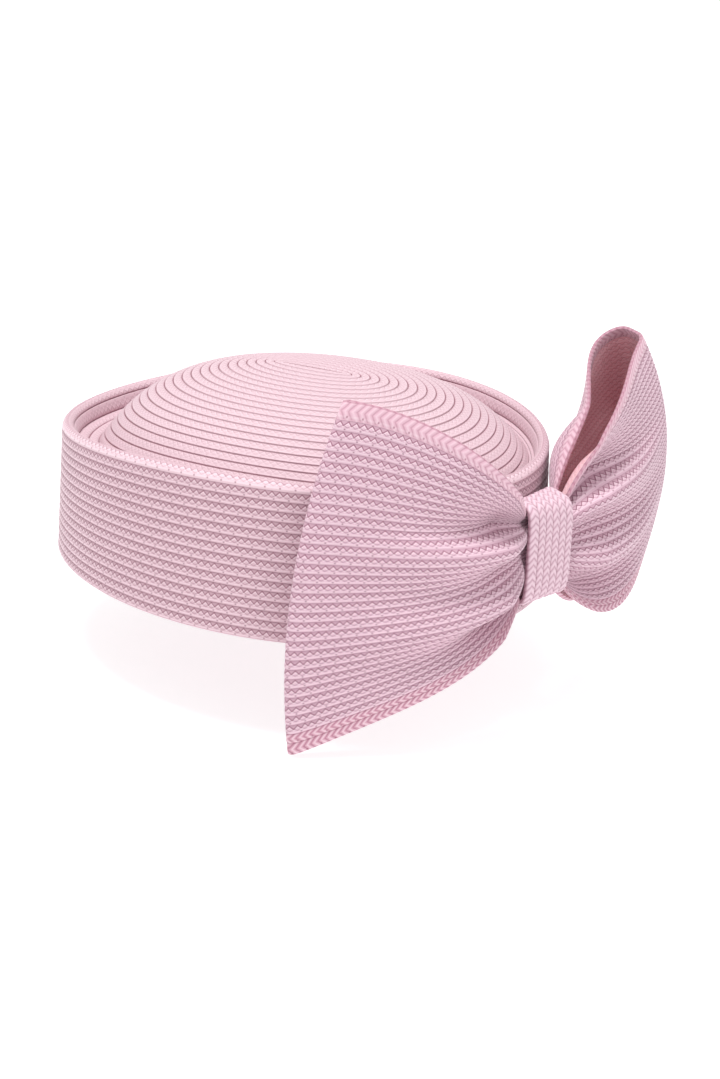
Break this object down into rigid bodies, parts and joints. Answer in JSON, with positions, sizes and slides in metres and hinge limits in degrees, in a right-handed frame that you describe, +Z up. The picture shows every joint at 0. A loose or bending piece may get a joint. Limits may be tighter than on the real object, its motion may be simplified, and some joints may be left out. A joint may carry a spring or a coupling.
{
  "type": "pillbox hat",
  "caption": "Pillbox hat of sewn straw braid with a straight side wall, a domed tip sunk behind the rim and a large looped bow on one end.",
  "frame": {"origin": "centre of the oval head opening, in the plane of the wall's lower edge", "axes": "+Z up along the axis of the crown, Y along the long axis of the oval with the bow at -Y, +X to the wearer's side on which the bow's upright loop stands"},
  "size_m": [0.1854, 0.2213, 0.1288],
  "materials": {
    "crown_straw": "sewn straw braid, pale pink, satin",
    "bow_straw": "sewn straw braid, dusty pink, satin",
    "knot_straw": "sewn straw braid, dusty pink, satin"
  },
  "bodies": {
    "root": {"crown": "crown_straw", "bow_band": "bow_straw", "bow_knot": "knot_straw"}
  },
  "joints": []
}
